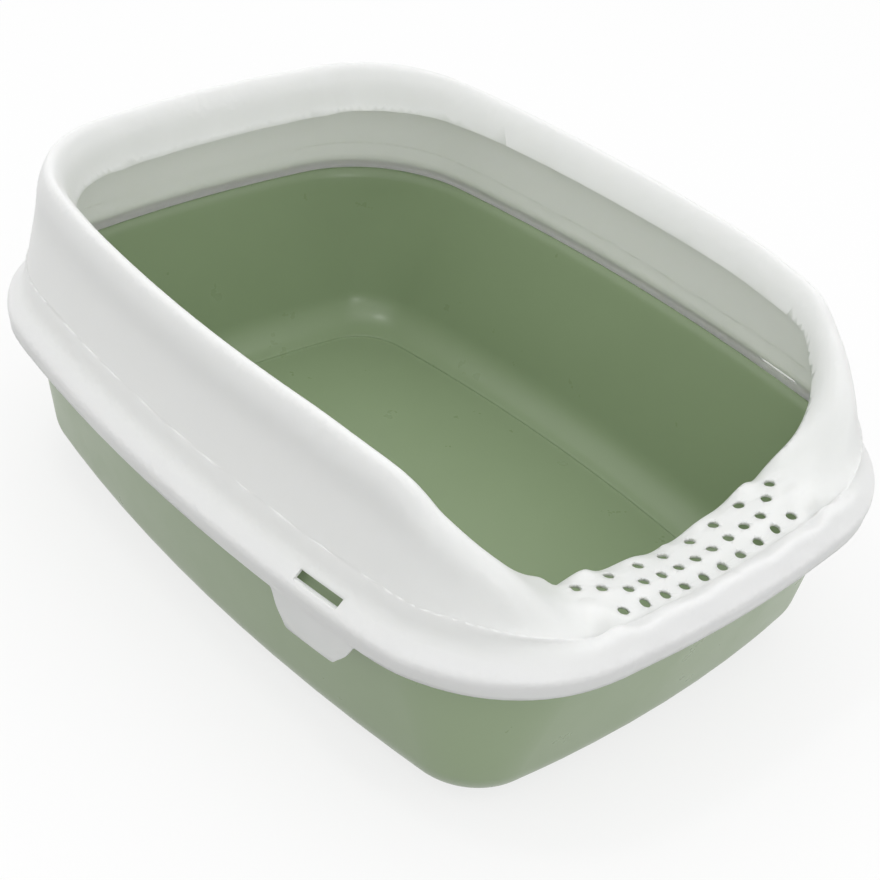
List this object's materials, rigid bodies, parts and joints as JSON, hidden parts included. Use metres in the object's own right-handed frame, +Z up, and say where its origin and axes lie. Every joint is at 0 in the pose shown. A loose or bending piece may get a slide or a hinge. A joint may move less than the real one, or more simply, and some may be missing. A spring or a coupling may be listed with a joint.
{
  "type": "litter tray",
  "caption": "High-sided cat litter tray: sage green tub with a white press-on rim that dips to a low perforated entry at the front.",
  "frame": {"origin": "centre of the base on the floor the tray stands on", "axes": "+Z up, Y along the length with the low entry at -Y, X across the width"},
  "size_m": [0.4224, 0.5587, 0.2293],
  "materials": {
    "green_plastic": "satin",
    "white_plastic": "satin"
  },
  "bodies": {
    "tray": {"tray": "green_plastic"},
    "rim": {"rim": "white_plastic"}
  },
  "joints": [
    {"name": "rim_lift", "type": "slide", "parent": "tray", "child": "rim", "axis": [0, 0, 1], "range_m": [0, 0.08]}
  ]
}
